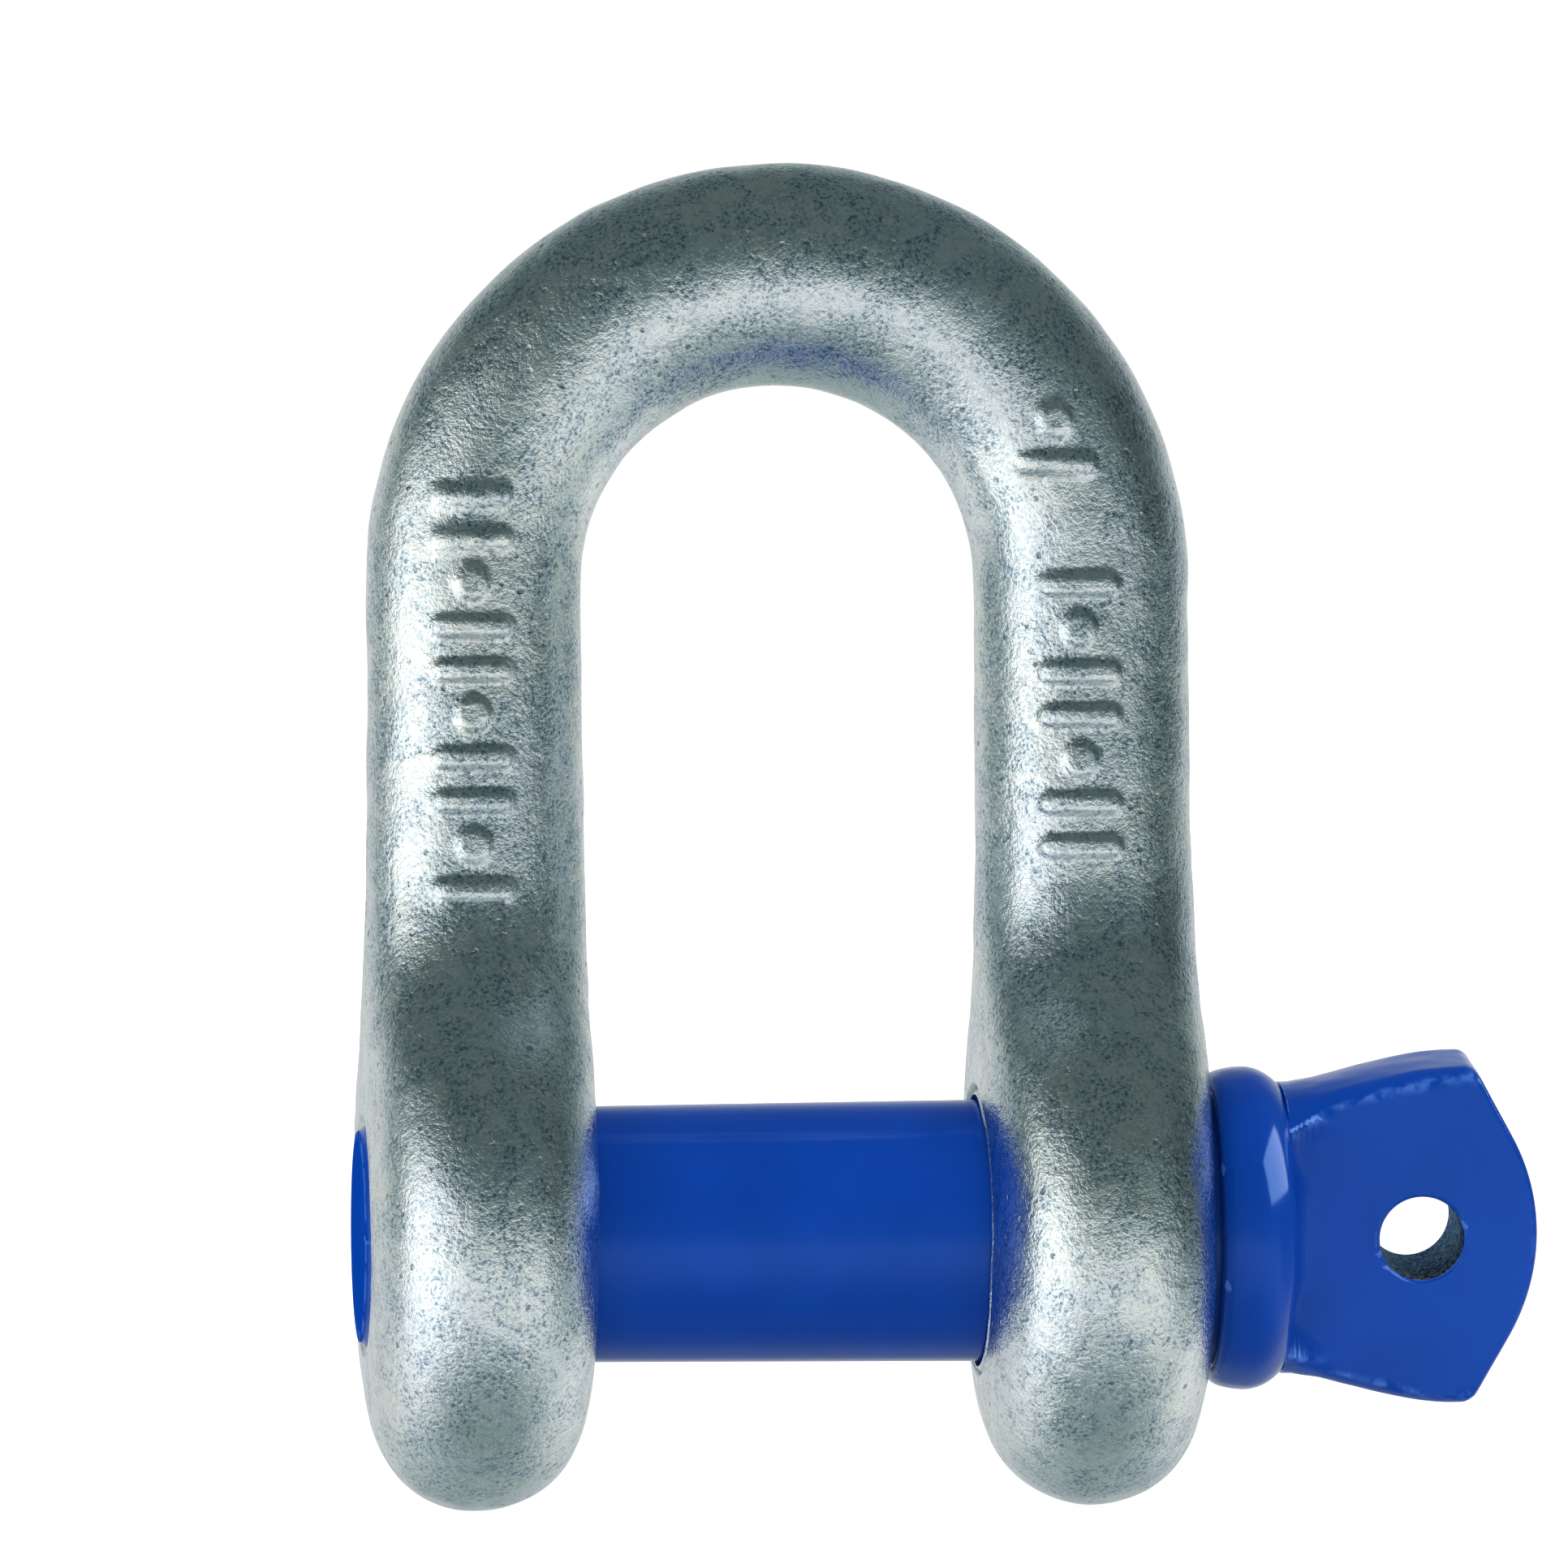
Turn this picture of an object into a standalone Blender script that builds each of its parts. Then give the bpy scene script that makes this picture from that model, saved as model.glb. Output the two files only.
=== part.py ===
"""Screw-pin dee shackle: a forged U-shaped body, a screw pin through its two eyes, and the pin's collar.

Units are metres. +Z runs from the pin up to the crown, the pin lies along X with its head at +X,
and the origin is on the pin's axis, midway between the two eyes.
"""

import math

import bmesh
import bpy

MM = 0.001

# Body: the bar, the crown and the eyes
LEG_SPACING = 66.6 * MM  # between the legs' centre lines
BAR_RADIUS = 11.85 * MM
CROWN_BAR_RADIUS = 12.25 * MM  # the bar is a little thicker at the top of the bend
CROWN_CENTRE_Z = 71.4 * MM
EYE_RADIUS = 30.25 * MM
EYE_HALF_THICKNESS = 12.6 * MM
EYE_RIM_POWER = 5.0  # higher is a flatter face and a tighter rim
EYE_OFFSET = 0.35 * MM  # how far each eye stands outside its leg's centre line
EYE_X = LEG_SPACING / 2 + EYE_OFFSET
EYE_FILLET = 22.0 * MM  # between the eye's rim and the leg
LEG_TAPER_HEIGHT = 60.0 * MM  # the leg thins from the eye's thickness over this height
BODY_SIDES = 32
CROWN_STEPS = 24
FOOT_ANGLES = (12, 24, 36, 48, 60, 70, 80, 90)  # degrees up the eye's rim from its lowest point
LEG_HEIGHTS = (5, 10, 15, 20, 24, 28, 32, 36, 40, 50, 60)  # millimetres above the pin's axis

# Pin
PIN_THREAD_RADIUS = 14.0 * MM
PIN_SHANK_RADIUS = 14.5 * MM  # at the collar; the shank tapers to the thread's radius
PIN_TIP_X = -46.5 * MM
PIN_TIP_CHAMFER = 0.6 * MM
THREAD_PITCH = 25.4 * MM / 7
THREAD_START_X = -45.6 * MM
THREAD_TURNS = 5
THREAD_FADE = 0.5  # turns over which a thread rises from nothing
THREAD_SIDES = 36
SHANK_START_X = -21.4 * MM
THREAD_OVERLAP = 0.8 * MM  # how far the thread's core runs into the shank
THREAD_FLANK = 0.3125  # share of the pitch
THREAD_CREST = 0.125  # share of the pitch
THREAD_PROFILE = (
    (0.0, 0.0),
    (THREAD_FLANK, 1.0),
    (THREAD_FLANK + THREAD_CREST, 1.0),
    (2 * THREAD_FLANK + THREAD_CREST, 0.0),
)  # share of the pitch, share of the depth
THREAD_DEPTH = THREAD_PITCH * THREAD_FLANK / math.tan(math.radians(30))
THREAD_CLEARANCE = 0.6 * MM  # measured along the radius, so 0.3 mm square to the flanks
TAP_MOUTH_RADIUS = PIN_THREAD_RADIUS + 0.4 * MM  # the tapped eye's inner mouth
BORE_RADIUS = 14.9 * MM  # the plain eye
BORE_CHAMFER = 0.6 * MM
PAST_FACE = 2 * MM  # how far a bore's cutter runs past the eye's face
GAP = 0.3 * MM
MERGE_DISTANCE = 0.01 * MM  # corners closer than this are one corner

# Collar and head
COLLAR_RADIUS = 17.8 * MM
COLLAR_START_X = 46.55 * MM
COLLAR_END_X = 54.6 * MM
COLLAR_FACETS = 8
COLLAR_SWELL = (0.8, 0.6)  # at the head and at the eye; lower is a fuller round
NECK_RADIUS = 15.6 * MM
NECK_END_X = 55.6 * MM
NECK_DOME_X = 61.5 * MM  # where the round neck has run out into the tab
NECK_FACETS = 6
TAB_TILT = math.radians(11)  # the tab's turn about the pin's axis at rest
TAB_HALF_THICKNESS = 6.75 * MM
TAB_CORNER_X = 74.4 * MM
TAB_CORNER_HALF_HEIGHT = 18.3 * MM
TAB_END_X = 82.4 * MM
TAB_END_RADIUS = 23.2 * MM
TAB_ARC_HALF_HEIGHT = 11.0 * MM  # the end is an arc up to here, and straight from here to the corner
TAB_ROOT_DEPTH = 0.5 * MM  # how far the tab runs back into the neck
TAB_ROOT_INSET = 1 * MM
TAB_CURVE_STEPS = 6
TAB_EDGE = 2.0 * MM
TAB_EDGE_FACETS = 3
HOLE_X = 69.6 * MM
HOLE_RADIUS = 4.6 * MM
HOLE_CUTTER_LENGTH = 4 * TAB_HALF_THICKNESS
HOLE_SIDES = 32

GALVANISED = ("galvanised_steel", (0.42, 0.46, 0.47), 0.42, 0.9)
BLUE = (0.006, 0.048, 0.33)
PIN_ENAMEL = ("blue_enamel", BLUE, 0.25, 0.0)
COLLAR_ENAMEL = ("collar_enamel", BLUE, 0.25, 0.0)

SMOOTH_ANGLE = math.radians(35)
BEVEL_ANGLE = math.radians(60)


def clear_scene():
    for thing in list(bpy.data.objects):
        bpy.data.objects.remove(thing, do_unlink=True)


def collection(name):
    made = bpy.data.collections.new(name)
    bpy.context.scene.collection.children.link(made)
    return made


def material(name, colour, roughness, metallic):
    made = bpy.data.materials.new(name)
    made.use_nodes = True
    shader = made.node_tree.nodes["Principled BSDF"]
    shader.inputs["Base Color"].default_value = (*colour, 1.0)
    shader.inputs["Roughness"].default_value = roughness
    shader.inputs["Metallic"].default_value = metallic
    return made


def mesh_object(name, points, faces, home):
    mesh = bpy.data.meshes.new(name)
    mesh.from_pydata(points, [], faces)
    made = bpy.data.objects.new(name, mesh)
    home.objects.link(made)
    return made


def smooth_step(value):
    t = min(max(value, 0.0), 1.0)
    return t * t * (3 - 2 * t)


def mix(a, b, share):
    return a + (b - a) * share


# ---------------------------------------------------------------- body


def eye_half_width(z):
    """Half of the leg's or eye's size across the pin at height z: the eye's circle, a fillet, the bar."""
    reach = EYE_RADIUS + EYE_FILLET
    fillet_z = math.sqrt(reach**2 - (BAR_RADIUS + EYE_FILLET) ** 2)
    if z < fillet_z * EYE_RADIUS / reach:
        return math.sqrt(max(EYE_RADIUS**2 - z**2, 0.0))
    if z < fillet_z:
        return BAR_RADIUS + EYE_FILLET - math.sqrt(EYE_FILLET**2 - (z - fillet_z) ** 2)
    return BAR_RADIUS


def leg_section(z):
    """Points (outwards, along Y) round the leg or eye at height z."""
    wide = eye_half_width(z)
    thick = mix(EYE_HALF_THICKNESS, BAR_RADIUS, smooth_step(z / LEG_TAPER_HEIGHT))
    shift = EYE_OFFSET * (1 - smooth_step(z / LEG_TAPER_HEIGHT))
    eye_share = (wide - BAR_RADIUS) / (EYE_RADIUS - BAR_RADIUS) if z > 0 else 1.0
    power = mix(2.0, EYE_RIM_POWER, eye_share)
    below = min(z, 0.0)
    ring = []
    for side in range(BODY_SIDES):
        turn = 2 * math.pi * side / BODY_SIDES
        y = wide * math.sin(turn)
        full = (y**2 + below**2) / (wide**2 + below**2)
        x = thick * math.sqrt(max(1 - full ** (power / 2), 0.0))
        ring.append((shift + math.copysign(x, math.cos(turn)), y))
    return ring


def crown_section(turn):
    """Points (outwards, along Y) round the bar, turn radians along the half-round crown."""
    radius = mix(BAR_RADIUS, CROWN_BAR_RADIUS, math.sin(turn) ** 2)
    return [
        (radius * math.cos(a), radius * math.sin(a))
        for a in (2 * math.pi * side / BODY_SIDES for side in range(BODY_SIDES))
    ]


def leg_heights():
    """Heights of the sections up one leg, from just above the eye's lowest point to the crown."""
    below = [-EYE_RADIUS * math.cos(math.radians(angle)) for angle in FOOT_ANGLES]
    return below + [height * MM for height in LEG_HEIGHTS]


def body_rings():
    """Rings of points from the right eye's foot, up and over the crown, to the left eye's foot."""
    half = LEG_SPACING / 2
    heights = leg_heights()
    rings = [[(half + x, y, z) for x, y in leg_section(z)] for z in heights]
    for step in range(CROWN_STEPS + 1):
        turn = math.pi * step / CROWN_STEPS
        rings.append(
            [
                ((half + x) * math.cos(turn), y, CROWN_CENTRE_Z + (half + x) * math.sin(turn))
                for x, y in crown_section(turn)
            ]
        )
    rings += [[(-half - x, y, z) for x, y in leg_section(z)] for z in reversed(heights)]
    return rings


def tube_faces(ring_count, sides):
    """Quads between each ring and the next."""
    return [
        (row * sides + side, row * sides + after, (row + 1) * sides + after, (row + 1) * sides + side)
        for row in range(ring_count - 1)
        for side, after in ((s, (s + 1) % sides) for s in range(sides))
    ]


def make_body(home, cutters):
    rings = body_rings()
    points = [point for ring in rings for point in ring]
    faces = tube_faces(len(rings), BODY_SIDES)
    for foot_x, first, step in ((EYE_X, 0, -1), (-EYE_X, (len(rings) - 1) * BODY_SIDES, 1)):
        points.append((foot_x, 0.0, -EYE_RADIUS))
        for side in range(BODY_SIDES):
            edge = (first + side, first + (side + 1) % BODY_SIDES)
            faces.append((len(points) - 1, *edge[::step]))
    body = mesh_object("shackle_body", points, faces, home)
    body.data.materials.append(material(*GALVANISED))
    cut(body, make_tap(cutters))
    cut(body, make_plain_bore(cutters))
    shade(body)
    return body


# ---------------------------------------------------------------- thread


def thread_surface(ends, outset):
    """Rows and columns that follow a right-hand thread about X, and a plain ring beyond each end.

    ends gives, for each end, the ring's place, its radius, and the radius that the thread fades into.
    """
    per_turn = len(THREAD_PROFILE)
    rows = THREAD_TURNS * per_turn + 2
    points = []
    for row in range(rows):
        share, height = THREAD_PROFILE[row % per_turn]
        for side in range(THREAD_SIDES):
            along = row // per_turn + share + side / THREAD_SIDES
            crest = PIN_THREAD_RADIUS + outset - THREAD_DEPTH * (1 - height)
            radius = mix(ends[0][2], crest, smooth_step((along - THREAD_FLANK) / THREAD_FADE))
            radius = mix(ends[1][2], radius, smooth_step((THREAD_TURNS + 0.5 - along) / THREAD_FADE))
            points.append((THREAD_START_X + along * THREAD_PITCH, radius, side))
    faces = [
        (row * THREAD_SIDES + side, row * THREAD_SIDES + side + 1,
         (row + 1) * THREAD_SIDES + side + 1, (row + 1) * THREAD_SIDES + side)
        for row in range(rows - 1)
        for side in range(THREAD_SIDES - 1)
    ]
    last = THREAD_SIDES - 1
    for row in range(rows - 1 - per_turn):
        faces.append(
            (row * THREAD_SIDES + last, (row + per_turn) * THREAD_SIDES,
             (row + 1 + per_turn) * THREAD_SIDES, (row + 1) * THREAD_SIDES + last)
        )
    low_ring, high_ring = len(points), len(points) + THREAD_SIDES
    for ring_x, radius, _ in ends:
        points += [(ring_x, radius, side) for side in range(THREAD_SIDES)]
    for side in range(last):
        faces.append((low_ring + side, low_ring + side + 1, side + 1, side))
        top = (rows - 1) * THREAD_SIDES + side
        faces.append((top, top + 1, high_ring + side + 1, high_ring + side))
    low_step = [row * THREAD_SIDES for row in range(per_turn + 1)]
    low_loop = [last, *reversed(low_step), low_ring]
    faces += [(low_ring + last, b, a) for a, b in zip(low_loop, low_loop[1:])]
    high_step = [(rows - 1 - row) * THREAD_SIDES + last for row in range(per_turn + 1)]
    high_loop = [(rows - 1) * THREAD_SIDES, *reversed(high_step), high_ring + last]
    faces += [(high_ring, b, a) for a, b in zip(high_loop, high_loop[1:])]
    return points, faces, low_ring, high_ring


def add_end(points, faces, ring, rings, tip_x, forwards):
    """Carries a thread's end ring on through (x, radius) rings, and closes it on the axis."""
    order = -1 if forwards else 1
    for x, radius in rings:
        start = len(points)
        points += [(x, radius, side) for side in range(THREAD_SIDES)]
        for side in range(THREAD_SIDES):
            after = (side + 1) % THREAD_SIDES
            faces.append((ring + side, start + side, start + after, ring + after)[::order])
        ring = start
    points.append((tip_x, 0.0, 0))
    for side in range(THREAD_SIDES):
        after = (side + 1) % THREAD_SIDES
        faces.append((ring + side, len(points) - 1, ring + after)[::order])


def round_points(points):
    """Turns (x, radius, side) into places about the X axis."""
    step = 2 * math.pi / THREAD_SIDES
    return [(x, radius * math.cos(side * step), radius * math.sin(side * step)) for x, radius, side in points]


def make_tap(cutters):
    """The cutter for the tapped eye: the thread's own surface, opened out, with a mouth at each face."""
    outer = PIN_THREAD_RADIUS - THREAD_DEPTH + THREAD_CLEARANCE + GAP
    near = EYE_HALF_THICKNESS - BORE_CHAMFER
    far = EYE_HALF_THICKNESS + PAST_FACE
    ends = ((-EYE_X - near, outer, outer), (-EYE_X + near, TAP_MOUTH_RADIUS, TAP_MOUTH_RADIUS))
    points, faces, low, high = thread_surface(ends, THREAD_CLEARANCE)
    add_end(points, faces, low, [(-EYE_X - far, outer + far - near)], -EYE_X - far, False)
    add_end(points, faces, high, [(-EYE_X + far, TAP_MOUTH_RADIUS + far - near)], -EYE_X + far, True)
    return cutter(mesh_object("tap", round_points(points), faces, cutters))


def make_plain_bore(cutters):
    """The cutter for the plain eye: a bore with a chamfered mouth at each face."""
    near = EYE_HALF_THICKNESS - BORE_CHAMFER
    far = EYE_HALF_THICKNESS + PAST_FACE
    wide = BORE_RADIUS + far - near
    profile = [(0.0, far), (wide, far), (BORE_RADIUS, near), (BORE_RADIUS, -near), (wide, -far), (0.0, -far)]
    bore = turned("plain_bore", profile, cutters, closed=False)
    bore.location.x = EYE_X
    return cutter(bore)


# ---------------------------------------------------------------- turned pieces


def turned(name, profile, home, closed):
    """A (radius, along) profile turned about the X axis. Its outer side runs from +X to -X."""
    points = [(radius, 0.0, along) for radius, along in profile]
    mesh = bpy.data.meshes.new(name)
    edges = [(i, i + 1) for i in range(len(points) - 1)]
    if closed:
        edges.append((len(points) - 1, 0))
    mesh.from_pydata(points, edges, [])
    made = bpy.data.objects.new(name, mesh)
    made.rotation_euler.y = math.pi / 2
    home.objects.link(made)
    screw = made.modifiers.new("turn", "SCREW")
    screw.axis = "Z"
    screw.steps = THREAD_SIDES
    screw.render_steps = THREAD_SIDES
    screw.use_merge_vertices = True
    screw.merge_threshold = MERGE_DISTANCE
    return made


def bulged_collar():
    """The collar's outer side, from its head end to its eye end: a full round, steeper at the head."""
    middle = COLLAR_START_X + 0.5 * (COLLAR_END_X - COLLAR_START_X)
    half = COLLAR_END_X - middle
    profile = []
    for step in range(COLLAR_FACETS + 1):
        angle = math.pi * step / COLLAR_FACETS
        along = middle + half * math.cos(angle)
        swell = math.sin(angle) ** COLLAR_SWELL[angle > math.pi / 2]
        profile.append((mix(NECK_RADIUS, COLLAR_RADIUS, swell), along))
    return profile


def make_collar(home):
    inner = PIN_SHANK_RADIUS + GAP
    profile = [*bulged_collar(), (inner, COLLAR_START_X), (inner, COLLAR_END_X)]
    collar = turned("pin_collar", profile, home, closed=True)
    collar.data.materials.append(material(*COLLAR_ENAMEL))
    shade(collar)
    return collar


def neck_profile():
    """The neck and its dome, from the head end to the collar end."""
    profile = [(0.0, NECK_DOME_X)]
    for step in range(1, NECK_FACETS + 1):
        angle = math.pi / 2 * step / NECK_FACETS
        along = NECK_END_X + (NECK_DOME_X - NECK_END_X) * math.cos(angle)
        profile.append((NECK_RADIUS * math.sin(angle), along))
    profile.append((NECK_RADIUS, COLLAR_END_X + GAP))
    return profile


def make_shank(home):
    """Shank and neck: everything on the pin that is turned, but for the thread."""
    profile = [
        *neck_profile(),
        (PIN_SHANK_RADIUS, COLLAR_END_X + GAP),
        (PIN_SHANK_RADIUS, COLLAR_START_X),
        (PIN_THREAD_RADIUS, SHANK_START_X),
        (0.0, SHANK_START_X),
    ]
    return turned("screw_pin", profile, home, closed=False)


def make_pin_thread(cutters):
    root = PIN_THREAD_RADIUS - THREAD_DEPTH
    chamfer_x = PIN_TIP_X + PIN_TIP_CHAMFER
    inside_x = SHANK_START_X + THREAD_OVERLAP
    ends = ((chamfer_x, root, root), (SHANK_START_X - THREAD_OVERLAP, PIN_THREAD_RADIUS, PIN_THREAD_RADIUS))
    points, faces, low, high = thread_surface(ends, 0.0)
    add_end(points, faces, low, [(PIN_TIP_X, root - PIN_TIP_CHAMFER)], PIN_TIP_X, False)
    add_end(points, faces, high, [(inside_x, PIN_THREAD_RADIUS - THREAD_OVERLAP)], inside_x, True)
    return cutter(mesh_object("pin_thread", round_points(points), faces, cutters))


# ---------------------------------------------------------------- head


def tab_outline():
    """Upper half of the tab's outline, from the neck to the middle of its end, in the tab's own plane."""
    rise = TAB_CORNER_HALF_HEIGHT - NECK_RADIUS
    length = TAB_CORNER_X - NECK_END_X
    points = [(NECK_END_X - TAB_ROOT_DEPTH, NECK_RADIUS - TAB_ROOT_INSET)]
    for step in range(TAB_CURVE_STEPS + 1):
        share = step / TAB_CURVE_STEPS
        points.append((NECK_END_X + length * share, NECK_RADIUS + rise * math.sin(share * math.pi / 2)))
    for step in range(TAB_CURVE_STEPS + 1):
        z = TAB_ARC_HALF_HEIGHT * (1 - step / TAB_CURVE_STEPS)
        points.append((TAB_END_X - TAB_END_RADIUS + math.sqrt(TAB_END_RADIUS**2 - z**2), z))
    return points


def make_tab(cutters):
    """The flat tab, as an outline extruded to its thickness."""
    upper = tab_outline()
    outline = upper + [(x, -z) for x, z in reversed(upper[:-1])]
    curve = bpy.data.curves.new("tab", "CURVE")
    curve.dimensions = "2D"
    curve.fill_mode = "BOTH"
    curve.extrude = TAB_HALF_THICKNESS
    spline = curve.splines.new("POLY")
    spline.points.add(len(outline) - 1)
    for point, (x, z) in zip(spline.points, outline):
        point.co = (x, z, 0.0, 1.0)
    spline.use_cyclic_u = True
    flat = bpy.data.objects.new("tab_outline", curve)
    flat.rotation_euler.x = math.pi / 2 + TAB_TILT
    cutters.objects.link(flat)
    bpy.context.view_layer.update()
    ready = flat.evaluated_get(bpy.context.evaluated_depsgraph_get())
    mesh = bpy.data.meshes.new_from_object(ready)
    place = flat.matrix_world.copy()
    bpy.data.objects.remove(flat, do_unlink=True)
    work = bmesh.new()
    work.from_mesh(mesh)
    bmesh.ops.remove_doubles(work, verts=work.verts, dist=MERGE_DISTANCE)
    work.to_mesh(mesh)
    work.free()
    tab = bpy.data.objects.new("tab", mesh)
    tab.matrix_world = place
    cutters.objects.link(tab)
    bevel = tab.modifiers.new("edges", "BEVEL")
    bevel.width = TAB_EDGE
    bevel.segments = TAB_EDGE_FACETS
    bevel.limit_method = "ANGLE"
    bevel.angle_limit = BEVEL_ANGLE
    return cutter(tab)


def make_hole(cutters):
    bpy.ops.mesh.primitive_cylinder_add(
        vertices=HOLE_SIDES,
        radius=HOLE_RADIUS,
        depth=HOLE_CUTTER_LENGTH,
        location=(HOLE_X, 0.0, 0.0),
        rotation=(math.pi / 2 + TAB_TILT, 0.0, 0.0),
    )
    hole = bpy.context.object
    hole.name = "eye_hole"
    for home in list(hole.users_collection):
        home.objects.unlink(hole)
    cutters.objects.link(hole)
    return cutter(hole)


def make_pin(home, cutters):
    pin = make_shank(home)
    pin.data.materials.append(material(*PIN_ENAMEL))
    join(pin, make_pin_thread(cutters))
    join(pin, make_tab(cutters))
    cut(pin, make_hole(cutters))
    shade(pin)
    return pin


# ---------------------------------------------------------------- joining and finishing


def cutter(thing):
    thing.hide_render = True
    thing.display_type = "WIRE"
    return thing


def boolean(target, tool, operation):
    step = target.modifiers.new(tool.name, "BOOLEAN")
    step.operation = operation
    step.solver = "EXACT"
    step.object = tool


def cut(target, tool):
    boolean(target, tool, "DIFFERENCE")


def join(target, tool):
    boolean(target, tool, "UNION")


def shade(thing):
    thing.data.shade_smooth()
    thing.data.set_sharp_from_angle(angle=SMOOTH_ANGLE)


def main():
    clear_scene()
    parts = collection("dee_shackle")
    cutters = collection("cutters")
    make_body(parts, cutters)
    make_collar(parts)
    make_pin(parts, cutters)


main()
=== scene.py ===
"""Screw-pin dee shackle: a galvanised forged body and a blue enamelled pin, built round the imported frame.

Everything is in metres. +Z runs from the pin up to the crown. The pin lies along X, with its head at +X.
"""

import math

import bmesh
import bpy
import numpy as np
from mathutils import Matrix, Vector, noise


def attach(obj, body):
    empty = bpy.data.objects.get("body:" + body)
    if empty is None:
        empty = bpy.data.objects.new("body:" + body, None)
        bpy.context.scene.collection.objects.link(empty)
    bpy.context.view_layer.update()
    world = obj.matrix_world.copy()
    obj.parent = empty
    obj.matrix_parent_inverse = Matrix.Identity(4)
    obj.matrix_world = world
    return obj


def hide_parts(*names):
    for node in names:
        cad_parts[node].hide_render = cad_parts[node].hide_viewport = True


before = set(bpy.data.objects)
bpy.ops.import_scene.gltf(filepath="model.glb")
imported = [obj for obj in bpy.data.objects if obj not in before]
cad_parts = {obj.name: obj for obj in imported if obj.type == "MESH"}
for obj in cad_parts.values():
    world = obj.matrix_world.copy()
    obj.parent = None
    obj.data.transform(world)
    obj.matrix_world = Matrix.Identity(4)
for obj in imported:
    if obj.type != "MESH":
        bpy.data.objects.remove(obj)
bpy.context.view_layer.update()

MM = 0.001

# ---------------------------------------------------------------- sizes

EYE_HALF_THICKNESS = 12.6 * MM
BODY_SIZES = {
    "Leg spacing": 66.6 * MM,
    "Bar radius": 11.85 * MM,
    "Crown bar radius": 12.25 * MM,
    "Crown centre height": 71.4 * MM,
    "Eye radius": 30.2 * MM,
    "Eye half thickness": EYE_HALF_THICKNESS,
    "Eye rim power": 5.0,
    "Eye offset": 0.35 * MM,
    "Eye fillet": 22.0 * MM,
    "Taper height": 60.0 * MM,
    "Forging unevenness": 0.22 * MM,
    "Mark rise": 0.6 * MM,
    "Mark length": 6.8 * MM,
    "Mark width": 2.1 * MM,
    "Mark edge": 0.42 * MM,
    "Mark pitch": 4.75 * MM,
}
CROWN_ROWS = 84  # rows of faces from the top of the crown to a leg
LEG_ROWS = 186
FOOT_ROWS = 44
ROUND_COLUMNS = 112
FRONT_CROWDING = 0.5  # the columns' spacing at the front, where the marks are, as a share of even spacing
BODY_MERGE_DISTANCE = 0.005 * MM
MERGE_DISTANCE = 0.002 * MM
BODY_SHARP_ANGLE = 40
LUMP_SIZES = (16 * MM, 5 * MM)  # the forging's broad and fine unevenness
LUMP_SHARES = (0.7, 0.3)

MARK_COLUMNS = (
    # how many, height of the first, place across, first in the pattern
    (10, 80.6 * MM, -34.4 * MM, 0),  # on the left leg
    (7, 70.4 * MM, 31.9 * MM, 1),  # on the right leg
    (2, 88.4 * MM, 29.4 * MM, 2),  # on the right side of the bend
)
MARK_PATTERN = 3  # each third mark is a round dot in place of a bar
DOT_EXTRA = 0.8 * MM  # how much larger a dot's radius is than half a bar's width
MARK_FRONT = (3 * MM, 6 * MM)  # the marks rise between these depths in front of the middle

EYE_X = 33.65 * MM
BORE_RADIUS = 14.9 * MM
BORE_CHAMFER = 0.8 * MM
BORE_CHAMFER_ANGLES = (0, 30, 60, 90)
BORE_CHAMFER_DRAW = 0.2  # how much deeper the rounding ends than a true quarter round, as a share of it
BORE_SIDES = 128
PAST_FACE = 2.0 * MM  # how far a cutting tool runs past what it cuts

COLLAR_START = 46.55 * MM
PIN_SIZES = {
    "Tip": -46.5 * MM,
    "Tip chamfer": 0.6 * MM,
    "Thread start": -45.6 * MM,
    "Thread pitch": 25.4 / 7 * MM,
    "Thread turns": 5.0,
    "Thread end": -21.4 * MM,
    "Crest radius": 14.0 * MM,
    "Thread depth": 1.964 * MM,
    "Collar start": COLLAR_START,
    "Collar end radius": 14.5 * MM,
}
# A thread's form, as shares of one pitch: its crest's middle, half its flat, and how far off the root is.
CREST_PLACE = 0.375
CREST_HALF_FLAT = 0.0625
ROOT_FROM = 0.375
# Turns over which the thread rises out of its root at the start, and runs out past its full turns.
LEAD_IN = (0.3125, 1.3125)
RUN_OUT = (0.2, 1.2)
PIN_COLUMNS = 256
TAP_COLUMNS = 144
CAP_ROWS = 8
THREAD_ROWS = 132
SHANK_ROWS = 16
THREAD_CLEARANCE = 0.6 * MM
TAP_OUTSET = 0.4 * MM
MOUTH_GAP = 0.3 * MM
HEAD_JOIN_DISTANCE = 0.01 * MM
PIN_SHARP_ANGLE = 34

COLLAR_RADIUS = 17.8 * MM
COLLAR_END = 54.6 * MM
COLLAR_ROWS = 40
COLLAR_BACK_RADII = (14.5 * MM, 15.0 * MM)
COLLAR_BACK_POWER = 0.6
COLLAR_HEAD_POWER = 1.7
COLLAR_CORNER = 3.9 * MM
COLLAR_BLEND = 0.5 * MM
COLLAR_FILLET = 4.0 * MM  # fills the corner between the collar and the middle of the tab's faces
COLLAR_FILLET_HEIGHTS = (4 * MM, 11 * MM)
NECK_RADIUS = 15.6 * MM
NECK_STRAIGHT_END = 56.5 * MM
NECK_DOME_LENGTH = 9.0 * MM
NECK_END = 62.0 * MM
NECK_ROWS = 56
NECK_BLEND = 1.6 * MM
TAB_TILT = math.radians(11)
TAB_HALF_THICKNESS = 6.75 * MM
TAB_START = 55.6 * MM
TAB_CORNER_X = 75.3 * MM
TAB_CORNER_HEIGHT = 18.9 * MM
TAB_END_X = 82.4 * MM
TAB_END_RADIUS = 23.2 * MM
TAB_ARC_HEIGHT = 11.0 * MM
TAB_EDGE = 3.2 * MM
TAB_ROWS = 44
EDGE_CROWN = 0.9 * MM  # how far the upper and lower edges fall away at the faces, near the neck
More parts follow.
